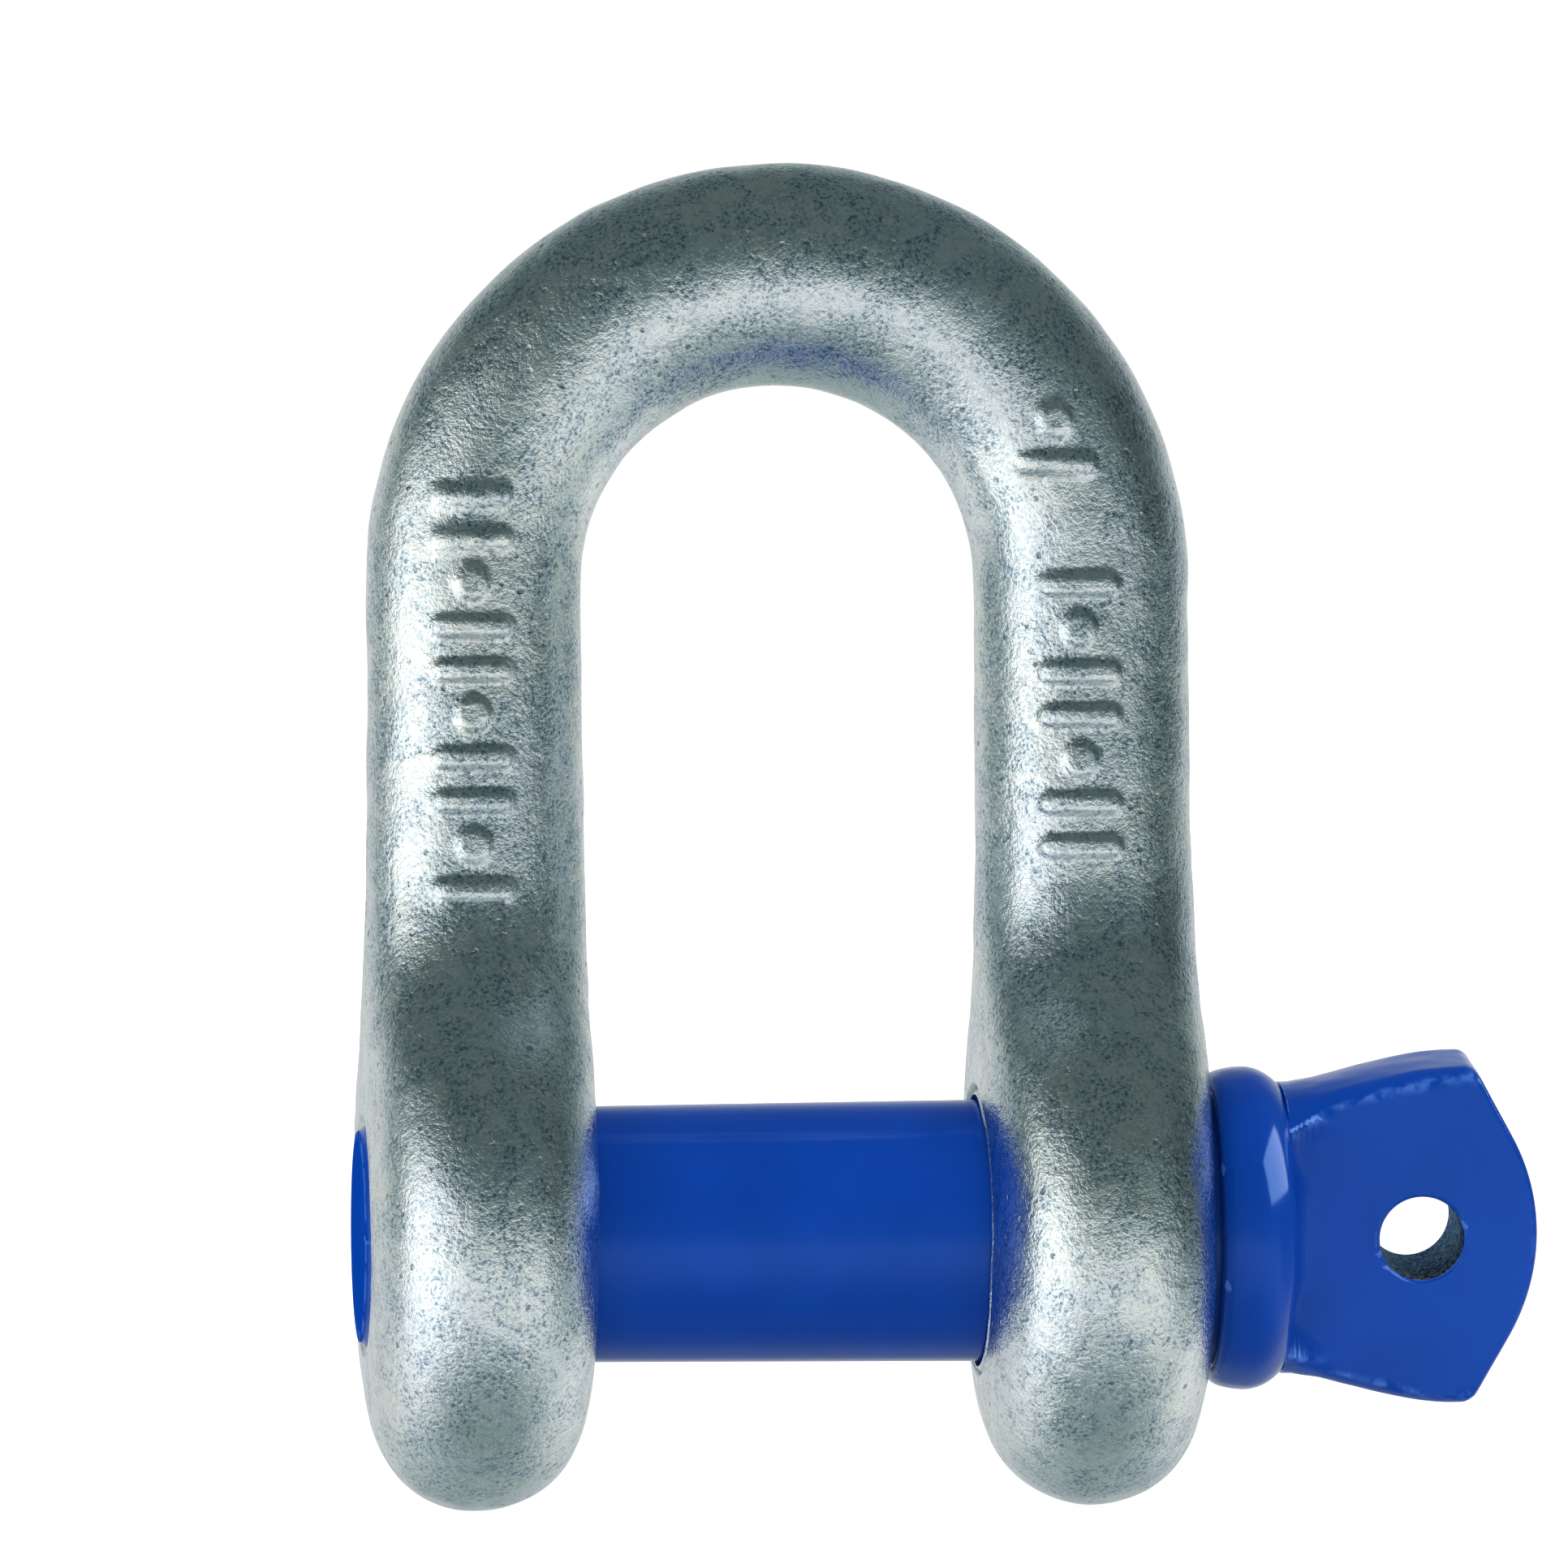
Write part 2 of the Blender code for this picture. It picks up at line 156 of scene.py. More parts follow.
EDGE_CROWN_SPAN = (58 * MM, 74 * MM)
FORGED_FLASH = 0.9 * MM  # what was milled off each face, which leaves a crease round it
END_EDGE = 0.9 * MM
END_EDGE_ROWS = 6
END_SHARES = (0.94, 0.85, 0.7, 0.5, 0.25)  # rings across the tab's end, as shares of its outline
RECESS_X = 55.3 * MM
RECESS_HEIGHT = 13.6 * MM
RECESS_CORNER = 6.0 * MM
RECESS_SLOPE = 0.8  # how much the recess opens out for each unit of depth
RECESS_REACH = 100 * MM
RECESS_BLEND = 1.2 * MM
HOLE_X = 69.6 * MM
HOLE_RADIUS = 4.6 * MM
HOLE_SIDES = 72
HOLE_EASE = 0.35 * MM
HOLE_INSET = 0.1 * MM
SEARCH_RADIUS = 30 * MM
SEARCH_HALVINGS = 34

# What the painted forging is out of true by, and the size of the waves.
BROAD_WEAR = 0.10 * MM
FINE_WEAR = 0.09 * MM
BROAD_WEAR_SIZE = 9 * MM
FINE_WEAR_SIZE = 2.6 * MM
FINE_WEAR_OFFSET = Vector((7, 3, 1))
FINE_WEAR_HEIGHTS = (12 * MM, 16 * MM)

CAMERA_AIM = Vector((0.55, 0.0, 49.0)) * MM
CAMERA_AZIMUTH = math.radians(-5.4)
CAMERA_ELEVATION = math.radians(0.0)
CAMERA_ROLL = math.radians(0.45)
CAMERA_DISTANCE = 2000.0 * MM
CAMERA_LENS = 420.0
CAMERA_SENSOR = 36.0
CAMERA_CLIP = (0.05, 50.0)
FLOOR_HEIGHT = -30.35 * MM
FLOOR_REACH = 80.0
ROOM_LEVEL = 1.30
FILL_LEVEL = 1.02  # what the matt part of a finish receives from all round
BACKDROP_LEVEL = 1.02
HEAD_LIGHT_AIM = Vector((0.0, 0.0, 45.0)) * MM
HEAD_LIGHT_AZIMUTH = math.radians(66)
HEAD_LIGHT_ELEVATION = math.radians(31)
WHITE = (1.0, 1.0, 1.0, 1.0)


# ---------------------------------------------------------------- node arithmetic


class Term:
    """A node's output. Arithmetic on it adds Math nodes."""

    def __init__(self, wires, socket):
        self.wires = wires
        self.socket = socket

    def __add__(self, other):
        return self.wires.math("ADD", self, other)

    def __sub__(self, other):
        return self.wires.math("SUBTRACT", self, other)

    def __mul__(self, other):
        return self.wires.math("MULTIPLY", self, other)

    def __truediv__(self, other):
        return self.wires.math("DIVIDE", self, other)

    def __pow__(self, other):
        return self.wires.math("POWER", self, other)

    def __rsub__(self, other):
        return self.wires.math("SUBTRACT", other, self)

    def __neg__(self):
        return self.wires.math("MULTIPLY", self, -1.0)

    __radd__ = __add__
    __rmul__ = __mul__


class Wires:
    """A node tree being built. add() makes any node and gives one of its outputs as a Term."""

    def __init__(self, tree):
        self.tree = tree

    def node(self, kind, settings=None, sockets=None):
        made = self.tree.nodes.new(kind)
        for name, value in (settings or {}).items():
            setattr(made, name, value)
        for key, value in (sockets or {}).items():
            if isinstance(value, Term):
                self.tree.links.new(value.socket, made.inputs[key])
            else:
                made.inputs[key].default_value = value
        return made

    def add(self, kind, settings=None, sockets=None, out=0):
        return Term(self, self.node(kind, settings, sockets).outputs[out])

    def math(self, operation, *values):
        return self.add("ShaderNodeMath", {"operation": operation}, dict(enumerate(values)))

    def clamp(self, value):
        return self.add("ShaderNodeClamp", {}, {0: value})

    def smooth(self, value, low, high):
        """0 at low and 1 at high, with a soft start and end."""
        sockets = {0: value, 1: low, 2: high, 3: 0.0, 4: 1.0}
        return self.add("ShaderNodeMapRange", {"interpolation_type": "SMOOTHSTEP"}, sockets)

    def between(self, share, low, high):
        return low + (high - low) * share

    def split(self, vector):
        parts = self.node("ShaderNodeSeparateXYZ", {}, {0: vector})
        return [Term(self, output) for output in parts.outputs]

    def vector(self, x, y, z):
        return self.add("ShaderNodeCombineXYZ", {}, {0: x, 1: y, 2: z})

    def blend(self, share, first, second):
        """Colour: first where share is 0, second where it is 1."""
        return self.add("ShaderNodeMix", {"data_type": "RGBA"}, {0: share, 6: first, 7: second}, out=2)

    def layered(self, colour, layers):
        """The colour under several layers, each given as where it lies, how strongly, and its own colour."""
        for where, strength, over in layers:
            colour = self.blend(where * strength, colour, over)
        return colour

    def noise(self, place, size, detail=2.0, rough=0.5, warp=0.0):
        """Soft noise whose features are about size metres across."""
        sockets = {"Vector": place, "Scale": 1 / size, "Detail": detail}
        sockets.update({"Roughness": rough, "Distortion": warp})
        return self.add("ShaderNodeTexNoise", {}, sockets)

    def cells(self, place, size):
        """Distance from the middle of the nearest of many scattered cells, in units of size."""
        return self.add("ShaderNodeTexVoronoi", {}, {"Vector": place, "Scale": 1 / size})


def grow(name, sizes, rule, finish):
    """A mesh made by a geometry tree. sizes are the tree's named inputs, and rule adds the tree's nodes."""
    tree = bpy.data.node_groups.new(name + "_rule", "GeometryNodeTree")
    tree.interface.new_socket(name="Start", in_out="INPUT", socket_type="NodeSocketGeometry")
    values = {}
    for label, value in sizes.items():
        socket = tree.interface.new_socket(name=label, in_out="INPUT", socket_type="NodeSocketFloat")
        values[socket.identifier] = float(value)
    tree.interface.new_socket(name="Finished", in_out="OUTPUT", socket_type="NodeSocketGeometry")
    wires = Wires(tree)
    given = wires.node("NodeGroupInput")
    named = {label: Term(wires, given.outputs[label]) for label in sizes}
    shape = rule(wires, named)
    whole = wires.add("GeometryNodeRealizeInstances", {}, {0: shape})
    finished = wires.add("GeometryNodeSetMaterial", {}, {0: whole, "Material": finish})
    wires.node("NodeGroupOutput", {}, {0: finished})
    holder = bpy.data.objects.new(name, bpy.data.meshes.new(name + "_start"))
    bpy.context.scene.collection.objects.link(holder)
    step = holder.modifiers.new("rule", "NODES")
    step.node_group = tree
    for identifier, value in values.items():
        step[identifier] = value
    bpy.context.view_layer.update()
    ready = holder.evaluated_get(bpy.context.evaluated_depsgraph_get())
    mesh = bpy.data.meshes.new_from_object(ready)
    holder.modifiers.clear()
    holder.data = mesh
    mesh.name = name
    return holder


# ---------------------------------------------------------------- body


def grid_of(wires, rows, columns):
    """A flat grid one unit apart, with its row and column as fields from 0."""
    sockets = {"Size X": float(rows), "Size Y": float(columns)}
    sockets.update({"Vertices X": rows + 1, "Vertices Y": columns + 1})
    grid = wires.add("GeometryNodeMeshGrid", {}, sockets)
    across, along, _ = wires.split(wires.add("GeometryNodeInputPosition"))
    return grid, across + rows / 2, along + columns / 2


def moved_to(wires, mesh, place, merge_distance):
    moved = wires.add("GeometryNodeSetPosition", {}, {0: mesh, "Position": place})
    return wires.add("GeometryNodeMergeByDistance", {}, {0: moved, "Distance": merge_distance})


def body_section(wires, size, height, bar):
    """Half width along Y, half thickness, outward shift and rim power of the leg or eye at a height.

    The rim's power is 2 where the section is round, and more where it is squarer.
    """
    reach = size["Eye radius"] + size["Eye fillet"]
    fillet_reach = size["Bar radius"] + size["Eye fillet"]
    fillet_top = wires.math("SQRT", reach * reach - fillet_reach * fillet_reach)
    meeting = fillet_top * size["Eye radius"] / reach
    on_circle = wires.math("LESS_THAN", height, meeting)
    on_fillet = wires.math("LESS_THAN", height, fillet_top) * (1 - on_circle)
    circle = wires.math("SQRT", size["Eye radius"] ** 2 - height * height)
    drop = height - fillet_top
    fillet = fillet_reach - wires.math("SQRT", size["Eye fillet"] ** 2 - drop * drop)
    plain = (1 - on_circle) * (1 - on_fillet)
    wide = on_circle * circle + on_fillet * fillet + plain * size["Bar radius"] + (bar - size["Bar radius"])
    taper = wires.smooth(height, 0.0, size["Taper height"])
    thick = wires.between(taper, size["Eye half thickness"], size["Bar radius"]) + (bar - size["Bar radius"])
    shift = size["Eye offset"] * (1 - taper)
    eye_share = (wide - bar) / (size["Eye radius"] - size["Bar radius"])
    eye_share = wires.math("MAXIMUM", eye_share, wires.math("LESS_THAN", height, 0.0))
    power = wires.between(wires.clamp(eye_share), 2.0, size["Eye rim power"])
    return wide, thick, shift, power


def mark_lines(wires, size, count, top, across, first):
    """One column of raised marks as bare lines and points in the XZ plane: (bars, dots)."""
    down = wires.vector(0.0, 0.0, -size["Mark pitch"])
    sockets = {"Count": count, "Start Location": (across, 0.0, top), "Offset": down}
    places = wires.add("GeometryNodeMeshLine", {}, sockets)
    number = wires.add("GeometryNodeInputIndex") + float(first)
    in_pattern = wires.math("MODULO", number, float(MARK_PATTERN))
    dotted = wires.math("COMPARE", in_pattern, MARK_PATTERN - 1.0, 0.1)
    half = size["Mark length"] * 0.5
    ends = {"Start Location": wires.vector(-half, 0.0, 0.0), "Offset": wires.vector(half * 2, 0.0, 0.0)}
    bar = wires.add("GeometryNodeMeshLine", {}, {"Count": 2, **ends})
    dot = wires.add("GeometryNodeMeshLine", {}, {"Count": 1})
    shapes = []
    for chosen, shape in ((1 - dotted, bar), (dotted, dot)):
        sockets = {0: places, "Selection": chosen, "Instance": shape}
        copies = wires.add("GeometryNodeInstanceOnPoints", {}, sockets)
        shapes.append(wires.add("GeometryNodeRealizeInstances", {}, {0: copies}))
    return shapes


def joined(wires, shapes):
    node = wires.node("GeometryNodeJoinGeometry")
    for shape in shapes:
        wires.tree.links.new(shape.socket, node.inputs[0])
    return Term(wires, node.outputs[0])


def mark_height(wires, size, place):
    """How far the surface stands proud at a place, from its distance to the nearest bar or dot."""
    columns = [mark_lines(wires, size, *column) for column in MARK_COLUMNS]
    x, y, z = wires.split(place)
    flat = wires.vector(x, 0.0, z)
    tallest = 0.0
    for lines, target, extra in zip(zip(*columns), ("EDGES", "POINTS"), (0.0, DOT_EXTRA)):
        settings = {"target_element": target}
        sockets = {0: joined(wires, lines), "Source Position": flat}
        distance = wires.add("GeometryNodeProximity", settings, sockets, out="Distance")
        rim = size["Mark width"] * 0.5 + extra
        raised = wires.smooth(distance, rim + size["Mark edge"], rim - size["Mark edge"])
        tallest = wires.math("MAXIMUM", raised, tallest)
    in_front = wires.smooth(-y, *MARK_FRONT)
    return tallest * size["Mark rise"] * in_front


def body_rule(wires, size):
    """The bar swept from one eye's foot, over the crown, to the other, with its raised marks."""
    half_rows = CROWN_ROWS + LEG_ROWS + FOOT_ROWS
    grid, row, column = grid_of(wires, 2 * half_rows, ROUND_COLUMNS)
    signed = row - float(half_rows)
    steps = wires.math("ABSOLUTE", signed)
    side = wires.math("SIGN", signed)
    bend = wires.clamp(steps / float(CROWN_ROWS)) * (math.pi / 2)
    leg = wires.clamp((steps - float(CROWN_ROWS)) / float(LEG_ROWS))
    foot = wires.clamp((steps - float(CROWN_ROWS + LEG_ROWS)) / float(FOOT_ROWS)) * (math.pi / 2)
    height = size["Crown centre height"] * (1 - leg) - size["Eye radius"] * wires.math("SINE", foot)
    share = column / (ROUND_COLUMNS / 2) - 1.0
    turn = share * (FRONT_CROWDING + (1 - FRONT_CROWDING) * share * share) * math.pi - math.pi / 2
    over = wires.math("COSINE", bend)
    bar = wires.between(over * over, size["Bar radius"], size["Crown bar radius"])
    wide, thick, shift, power = body_section(wires, size, height, bar)
    y = wide * wires.math("SINE", turn)
    below = wires.math("MINIMUM", height, 0.0)
    full = (y * y + below * below) / (wide * wide + below * below)
    bulge = wires.math("SQRT", wires.math("MAXIMUM", 1 - full ** (power * 0.5), 0.0))
    out = shift + thick * bulge * wires.math("SIGN", wires.math("COSINE", turn))
    radius = size["Leg spacing"] * 0.5 + out
    x = side * radius * wires.math("SINE", bend)
    mesh = moved_to(wires, grid, wires.vector(x, y, height + radius * over), BODY_MERGE_DISTANCE)
    place = wires.add("GeometryNodeInputPosition")
    broad, fine = [wires.noise(place, lump, detail=1.0) for lump in LUMP_SIZES]
    lumps = broad * LUMP_SHARES[0] + fine * LUMP_SHARES[1]
    sunk = wires.smooth(lumps, 0.32, 0.68) * size["Forging unevenness"]
    normal = wires.add("GeometryNodeInputNormal")
    inward = wires.add("ShaderNodeVectorMath", {"operation": "SCALE"}, {0: normal, "Scale": -sunk})
    rise = wires.vector(0.0, -mark_height(wires, size, place), 0.0)
    both = wires.add("ShaderNodeVectorMath", {"operation": "ADD"}, {0: inward, 1: rise})
    return wires.add("GeometryNodeSetPosition", {}, {0: mesh, "Offset": both})


def tidy_mesh(piece, distance=MERGE_DISTANCE):
    """Merges doubles and turns every face outwards."""
    work = bmesh.new()
    work.from_mesh(piece.data)
    bmesh.ops.remove_doubles(work, verts=work.verts, dist=distance)
    bmesh.ops.recalc_face_normals(work, faces=work.faces)
    if work.calc_volume(signed=True) < 0:
        bmesh.ops.reverse_faces(work, faces=work.faces)
    work.to_mesh(piece.data)
    work.free()
    return piece


def mesh_piece(name, points, faces):
    mesh = bpy.data.meshes.new(name)
    mesh.from_pydata(points, [], faces)
    piece = bpy.data.objects.new(name, mesh)
    bpy.context.scene.collection.objects.link(piece)
    return piece


def spun(name, profile, sides, to_world):
    """A closed turned shape from (radius, along) points whose first and last are on the axis."""
    points = []
    turns = [2 * math.pi * s / sides for s in range(sides)]
    for radius, along in profile:
        ring = [(radius * math.cos(turn), radius * math.sin(turn), along) for turn in turns]
        if radius == 0:
            ring = ring[:1]
        points.append([to_world @ Vector(point) for point in ring])
    starts = [sum(len(ring) for ring in points[:row]) for row in range(len(points))]
    faces = []
    for row in range(len(points) - 1):
        for s in range(sides):
            after = (s + 1) % sides
            first = [starts[row] + (i if len(points[row]) > 1 else 0) for i in (s, after)]
            second = [starts[row + 1] + (i if len(points[row + 1]) > 1 else 0) for i in (after, s)]
            faces.append(list(dict.fromkeys(first + second)))
    piece = mesh_piece(name, [p for ring in points for p in ring], faces)
    return tidy_mesh(piece)


def cut_with(piece, tools):
    """Cuts the tools out of the piece and removes them."""
    for tool in tools:
        step = piece.modifiers.new(tool.name, "BOOLEAN")
        step.operation = "DIFFERENCE"
        step.solver = "EXACT"
        step.object = tool
    bpy.context.view_layer.update()
    ready = piece.evaluated_get(bpy.context.evaluated_depsgraph_get())
    mesh = bpy.data.meshes.new_from_object(ready)
    piece.modifiers.clear()
    piece.data = mesh
    for tool in tools:
        bpy.data.objects.remove(tool)
    return piece


def plain_bore():
    """The tool for the plain eye, with rounded mouths."""
    past = EYE_HALF_THICKNESS + PAST_FACE
    half = [(0.0, past), (BORE_RADIUS + BORE_CHAMFER + PAST_FACE, past)]
    for angle in BORE_CHAMFER_ANGLES:
        turn = math.radians(angle)
        depth = BORE_CHAMFER * (1 - math.cos(math.radians(90 - angle)))
        depth += BORE_CHAMFER * BORE_CHAMFER_DRAW * angle / 90
        half.append((BORE_RADIUS + BORE_CHAMFER * (1 - math.sin(turn)), EYE_HALF_THICKNESS - depth))
    profile = half + [(radius, -along) for radius, along in reversed(half)]
    along_x = Matrix.Translation((EYE_X, 0, 0)) @ Matrix.Rotation(math.pi / 2, 4, "Y")
    return spun("plain_bore", profile, BORE_SIDES, along_x)


# ---------------------------------------------------------------- thread


def thread_radius(wires, size, x, turn, outset, clearance):
    """Radius of a right-hand thread with flat crests, which rises at its start and fades at its end."""
    along = (x - size["Thread start"]) / size["Thread pitch"]
    whole_turns = 8.0  # keeps what the fraction is taken of above zero
    share = wires.math("FRACT", along - turn / (2 * math.pi) + whole_turns)
    off_crest = wires.math("ABSOLUTE", share - CREST_PLACE)
    rise = wires.smooth(off_crest, ROOT_FROM, CREST_HALF_FLAT)
    root = size["Crest radius"] - size["Thread depth"]
    low = wires.smooth(along, *LEAD_IN)
    high = wires.smooth(along, size["Thread turns"] + RUN_OUT[1], size["Thread turns"] + RUN_OUT[0])
    cut = root + size["Thread depth"] * rise * low + clearance
    shank = size["Crest radius"] + outset
    return wires.between(high, shank, cut)


def turned(wires, grid, x, turn, radius):
    """The grid wrapped round the pin's axis."""
    place = wires.vector(x, radius * wires.math("COSINE", turn), radius * wires.math("SINE", turn))
    return moved_to(wires, grid, place, MERGE_DISTANCE)


def pin_rule(wires, size):
    """The pin from its tip to its collar: end cap, chamfer, thread and tapered shank."""
    rows = CAP_ROWS + THREAD_ROWS + SHANK_ROWS
    grid, row, column = grid_of(wires, rows, PIN_COLUMNS)
    turn = column * (2 * math.pi / PIN_COLUMNS)
    cap = wires.clamp(row / float(CAP_ROWS))
    thread = wires.clamp((row - float(CAP_ROWS)) / float(THREAD_ROWS))
    shank = wires.clamp((row - float(CAP_ROWS + THREAD_ROWS)) / float(SHANK_ROWS))
    x = wires.between(thread, size["Tip"], size["Thread end"])
    x = x + (size["Collar start"] - size["Thread end"]) * shank
    radius = thread_radius(wires, size, x, turn, 0.0, 0.0)
    taper = wires.between(shank, size["Crest radius"], size["Collar end radius"])
    on_shank = wires.math("GREATER_THAN", shank, 0.0)
    radius = wires.between(on_shank, radius, taper)
    chamfer = wires.clamp((x - size["Tip"]) / size["Tip chamfer"])
    radius = radius - size["Tip chamfer"] * (1 - chamfer)
    return turned(wires, grid, x, turn, radius * cap)


def tap_rule(wires, size):
    """The tool for the tapped eye: the thread's surface opened out, with a mouth at each face."""
    rows = THREAD_ROWS + 2 * CAP_ROWS
    grid, row, column = grid_of(wires, rows, TAP_COLUMNS)
    turn = column * (2 * math.pi / TAP_COLUMNS)
    first = wires.clamp(row / float(CAP_ROWS))
    last = wires.clamp((float(rows) - row) / float(CAP_ROWS))
    cap = wires.math("MINIMUM", first, last)
    middle = wires.clamp((row - float(CAP_ROWS)) / float(THREAD_ROWS))
    far = EYE_HALF_THICKNESS + PAST_FACE
    x = (middle * 2 - 1.0) * far - EYE_X
    radius = thread_radius(wires, size, x, turn, TAP_OUTSET, THREAD_CLEARANCE)
    root = size["Crest radius"] - size["Thread depth"] + THREAD_CLEARANCE + MOUTH_GAP
    near = EYE_HALF_THICKNESS - BORE_CHAMFER
    outside = wires.math("MAXIMUM", -x - (EYE_X + near), 0.0)
    inside = wires.math("MAXIMUM", x + (EYE_X - near), 0.0)
    mouth = wires.math("MAXIMUM", (outside + root) * wires.math("GREATER_THAN", outside, 0.0), radius)
    return turned(wires, grid, x, turn, (mouth + inside) * cap)


def finish_piece(piece, finish, sharp_angle):
    """One finish all over, with the faces smoothed except across sharp corners."""
    piece.data.materials.clear()
    piece.data.materials.append(finish)
    piece.data.shade_smooth()
    piece.data.set_sharp_from_angle(angle=math.radians(sharp_angle))


def make_body(finish):
    body = tidy_mesh(grow("shackle_body_forging", BODY_SIZES, body_rule, finish))
    tap = tidy_mesh(grow("tap", PIN_SIZES, tap_rule, finish))
    cut_with(body, [plain_bore(), tap])
    finish_piece(body, finish, BODY_SHARP_ANGLE)
    return body


# ---------------------------------------------------------------- collar and head


def soft_min(a, b, blend):
    """The lesser of two distances, with the crease between them filled over the blend's width."""
    near = np.maximum(blend - np.abs(a - b), 0.0) / blend
    return np.minimum(a, b) - near * near * blend * 0.25


def soft_max(a, b, blend):
    return -soft_min(-a, -b, blend)


def ease(value, low, high):
    """0 at low and 1 at high, with a soft start and end."""
    t = np.clip((value - low) / (high - low), 0.0, 1.0)
    return t * t * (3 - 2 * t)


def rounded_box(a, b, half_a, half_b, corner):
    """Distance outside a rectangle with rounded corners."""
    qa = np.abs(a) - (half_a - corner)
    qb = np.abs(b) - (half_b - corner)
    outside = np.hypot(np.maximum(qa, 0.0), np.maximum(qb, 0.0))
    return outside + np.minimum(np.maximum(qa, qb), 0.0) - corner


def tab_half_height(x):
    """Half the tab's height, which grows from the neck's radius to the corner."""
    share = np.clip((x - TAB_START) / (TAB_CORNER_X - TAB_START), 0.0, 1.0)
    return NECK_RADIUS + (TAB_CORNER_HEIGHT - NECK_RADIUS) * np.sin(share * math.pi / 2)


def tab_end(height):
    """Where the tab ends at a height above its middle: an arc, then a straight run down to the corner."""
    level = np.abs(height)
    arc = TAB_END_X - TAB_END_RADIUS + np.sqrt(np.maximum(TAB_END_RADIUS**2 - level**2, 0.0))
    knee = TAB_END_X - TAB_END_RADIUS + math.sqrt(TAB_END_RADIUS**2 - TAB_ARC_HEIGHT**2)
    slope = (knee - TAB_CORNER_X) / (TAB_CORNER_HEIGHT - TAB_ARC_HEIGHT)
    straight = knee - (level - TAB_ARC_HEIGHT) * slope
    return np.where(level < TAB_ARC_HEIGHT, arc, straight)


def head_shape(x, top_x, deep, height):
    """Distance outside the head: the tab, the short round neck with its recess, and the collar."""
    reach = np.hypot(deep, height)
    crown = EDGE_CROWN * (deep / TAB_HALF_THICKNESS) ** 2 * (1 - ease(top_x, *EDGE_CROWN_SPAN))
    half = tab_half_height(top_x) - crown
    tab = rounded_box(deep, height, TAB_HALF_THICKNESS + FORGED_FLASH, half, TAB_EDGE)
    tab = np.maximum(tab, np.abs(deep) - TAB_HALF_THICKNESS)
    along_dome = (x - NECK_STRAIGHT_END) / NECK_DOME_LENGTH
    dome = NECK_RADIUS * np.sqrt(np.clip(1 - along_dome**2, 0.0, 1.0))
    neck = reach - np.where(along_dome < 0, NECK_RADIUS, dome)
    past_x = x - RECESS_X - RECESS_REACH
    recess = rounded_box(past_x, height, RECESS_REACH, RECESS_HEIGHT, RECESS_CORNER)
    recess = recess - RECESS_SLOPE * np.maximum(np.abs(deep) - TAB_HALF_THICKNESS, 0.0)
    neck = soft_max(neck, -recess, RECESS_BLEND)
    shape = soft_min(tab, neck, NECK_BLEND)
    middle = (COLLAR_START + COLLAR_END) / 2
    half_length = (COLLAR_END - COLLAR_START) / 2
    collar = rounded_box(x - middle, reach, half_length, COLLAR_RADIUS, COLLAR_CORNER)
    fillet = COLLAR_FILLET * (1 - ease(np.abs(height), *COLLAR_FILLET_HEIGHTS))
    return soft_min(shape, collar, COLLAR_BLEND + fillet)


def head_ring(x, top_x, turns, inset):
    """Radius all round the head at one station, found along each ray from the axis."""
    deep = -np.cos(turns - TAB_TILT)
    height = np.sin(turns - TAB_TILT)
    low = np.zeros_like(turns)
    high = np.full_like(turns, SEARCH_RADIUS)
    for _ in range(SEARCH_HALVINGS):
        guess = (low + high) / 2
        inside = head_shape(x, top_x, deep * guess, height * guess) < -inset
        low = np.where(inside, guess, low)
        high = np.where(inside, high, guess)
    return (low + high) / 2


def collar_profile():
    """(x, radius) of the collar from its eye side, where it is full, to its neck, where it falls away."""
    middle = (COLLAR_START + COLLAR_END) / 2
    half = COLLAR_END - middle
    rows = [(COLLAR_START, radius) for radius in COLLAR_BACK_RADII]
    for step in range(COLLAR_ROWS + 1):
        angle = math.pi * (1 - step / COLLAR_ROWS)
        power = COLLAR_BACK_POWER if angle > math.pi / 2 else COLLAR_HEAD_POWER
        swell = math.sin(angle) ** power
        radius = NECK_RADIUS + (COLLAR_RADIUS - NECK_RADIUS) * swell
        rows.append((middle + half * math.cos(angle), radius))
    return rows


def head_points(turns):
    """Rings of (x, radius) from the collar to the end of the tab, each with one value for each turn."""
    rings = []
    for x, radius in collar_profile()[:-1]:
        rings.append((np.full_like(turns, x), np.full_like(turns, radius)))
    for x in np.linspace(COLLAR_END, NECK_END, NECK_ROWS):
        rings.append((np.full_like(turns, x), head_ring(x, x, turns, 0.0)))
    lift = np.sin(turns - TAB_TILT)
    for share in np.linspace(0.0, 1.0, TAB_ROWS)[1:]:
        top_x = NECK_END + share * (TAB_CORNER_X - NECK_END)
        radius = head_ring(top_x, top_x, turns, 0.0)
        rings.append((NECK_END + share * (tab_end(radius * lift) - END_EDGE - NECK_END), radius))
    for step in range(1, END_EDGE_ROWS + 1):
        angle = math.pi / 2 * step / END_EDGE_ROWS
        radius = head_ring(TAB_CORNER_X, TAB_CORNER_X, turns, END_EDGE * (1 - math.cos(angle)))
        rings.append((tab_end(radius * lift) - END_EDGE * (1 - math.sin(angle)), radius))
    for share in END_SHARES:
        rings.append((tab_end(radius * share * lift), radius * share))
    return rings


def roughened(x, radius, turns):
    """Takes a little off the radius, so that the painted forging isn't dead true."""
    worn = []
    for place, reach, turn in zip(x, radius, turns):
        point = Vector((place, reach * math.cos(turn), reach * math.sin(turn)))
        broad = noise.noise(point / BROAD_WEAR_SIZE) * 0.5 + 0.5
        fine = noise.noise(point / FINE_WEAR_SIZE + FINE_WEAR_OFFSET) * 0.5 + 0.5
        height = abs(reach * math.sin(turn - TAB_TILT))
        near_edge = float(ease(height, *FINE_WEAR_HEIGHTS))
        worn.append(reach - BROAD_WEAR * broad - FINE_WEAR * fine * near_edge)
    return np.array(worn)


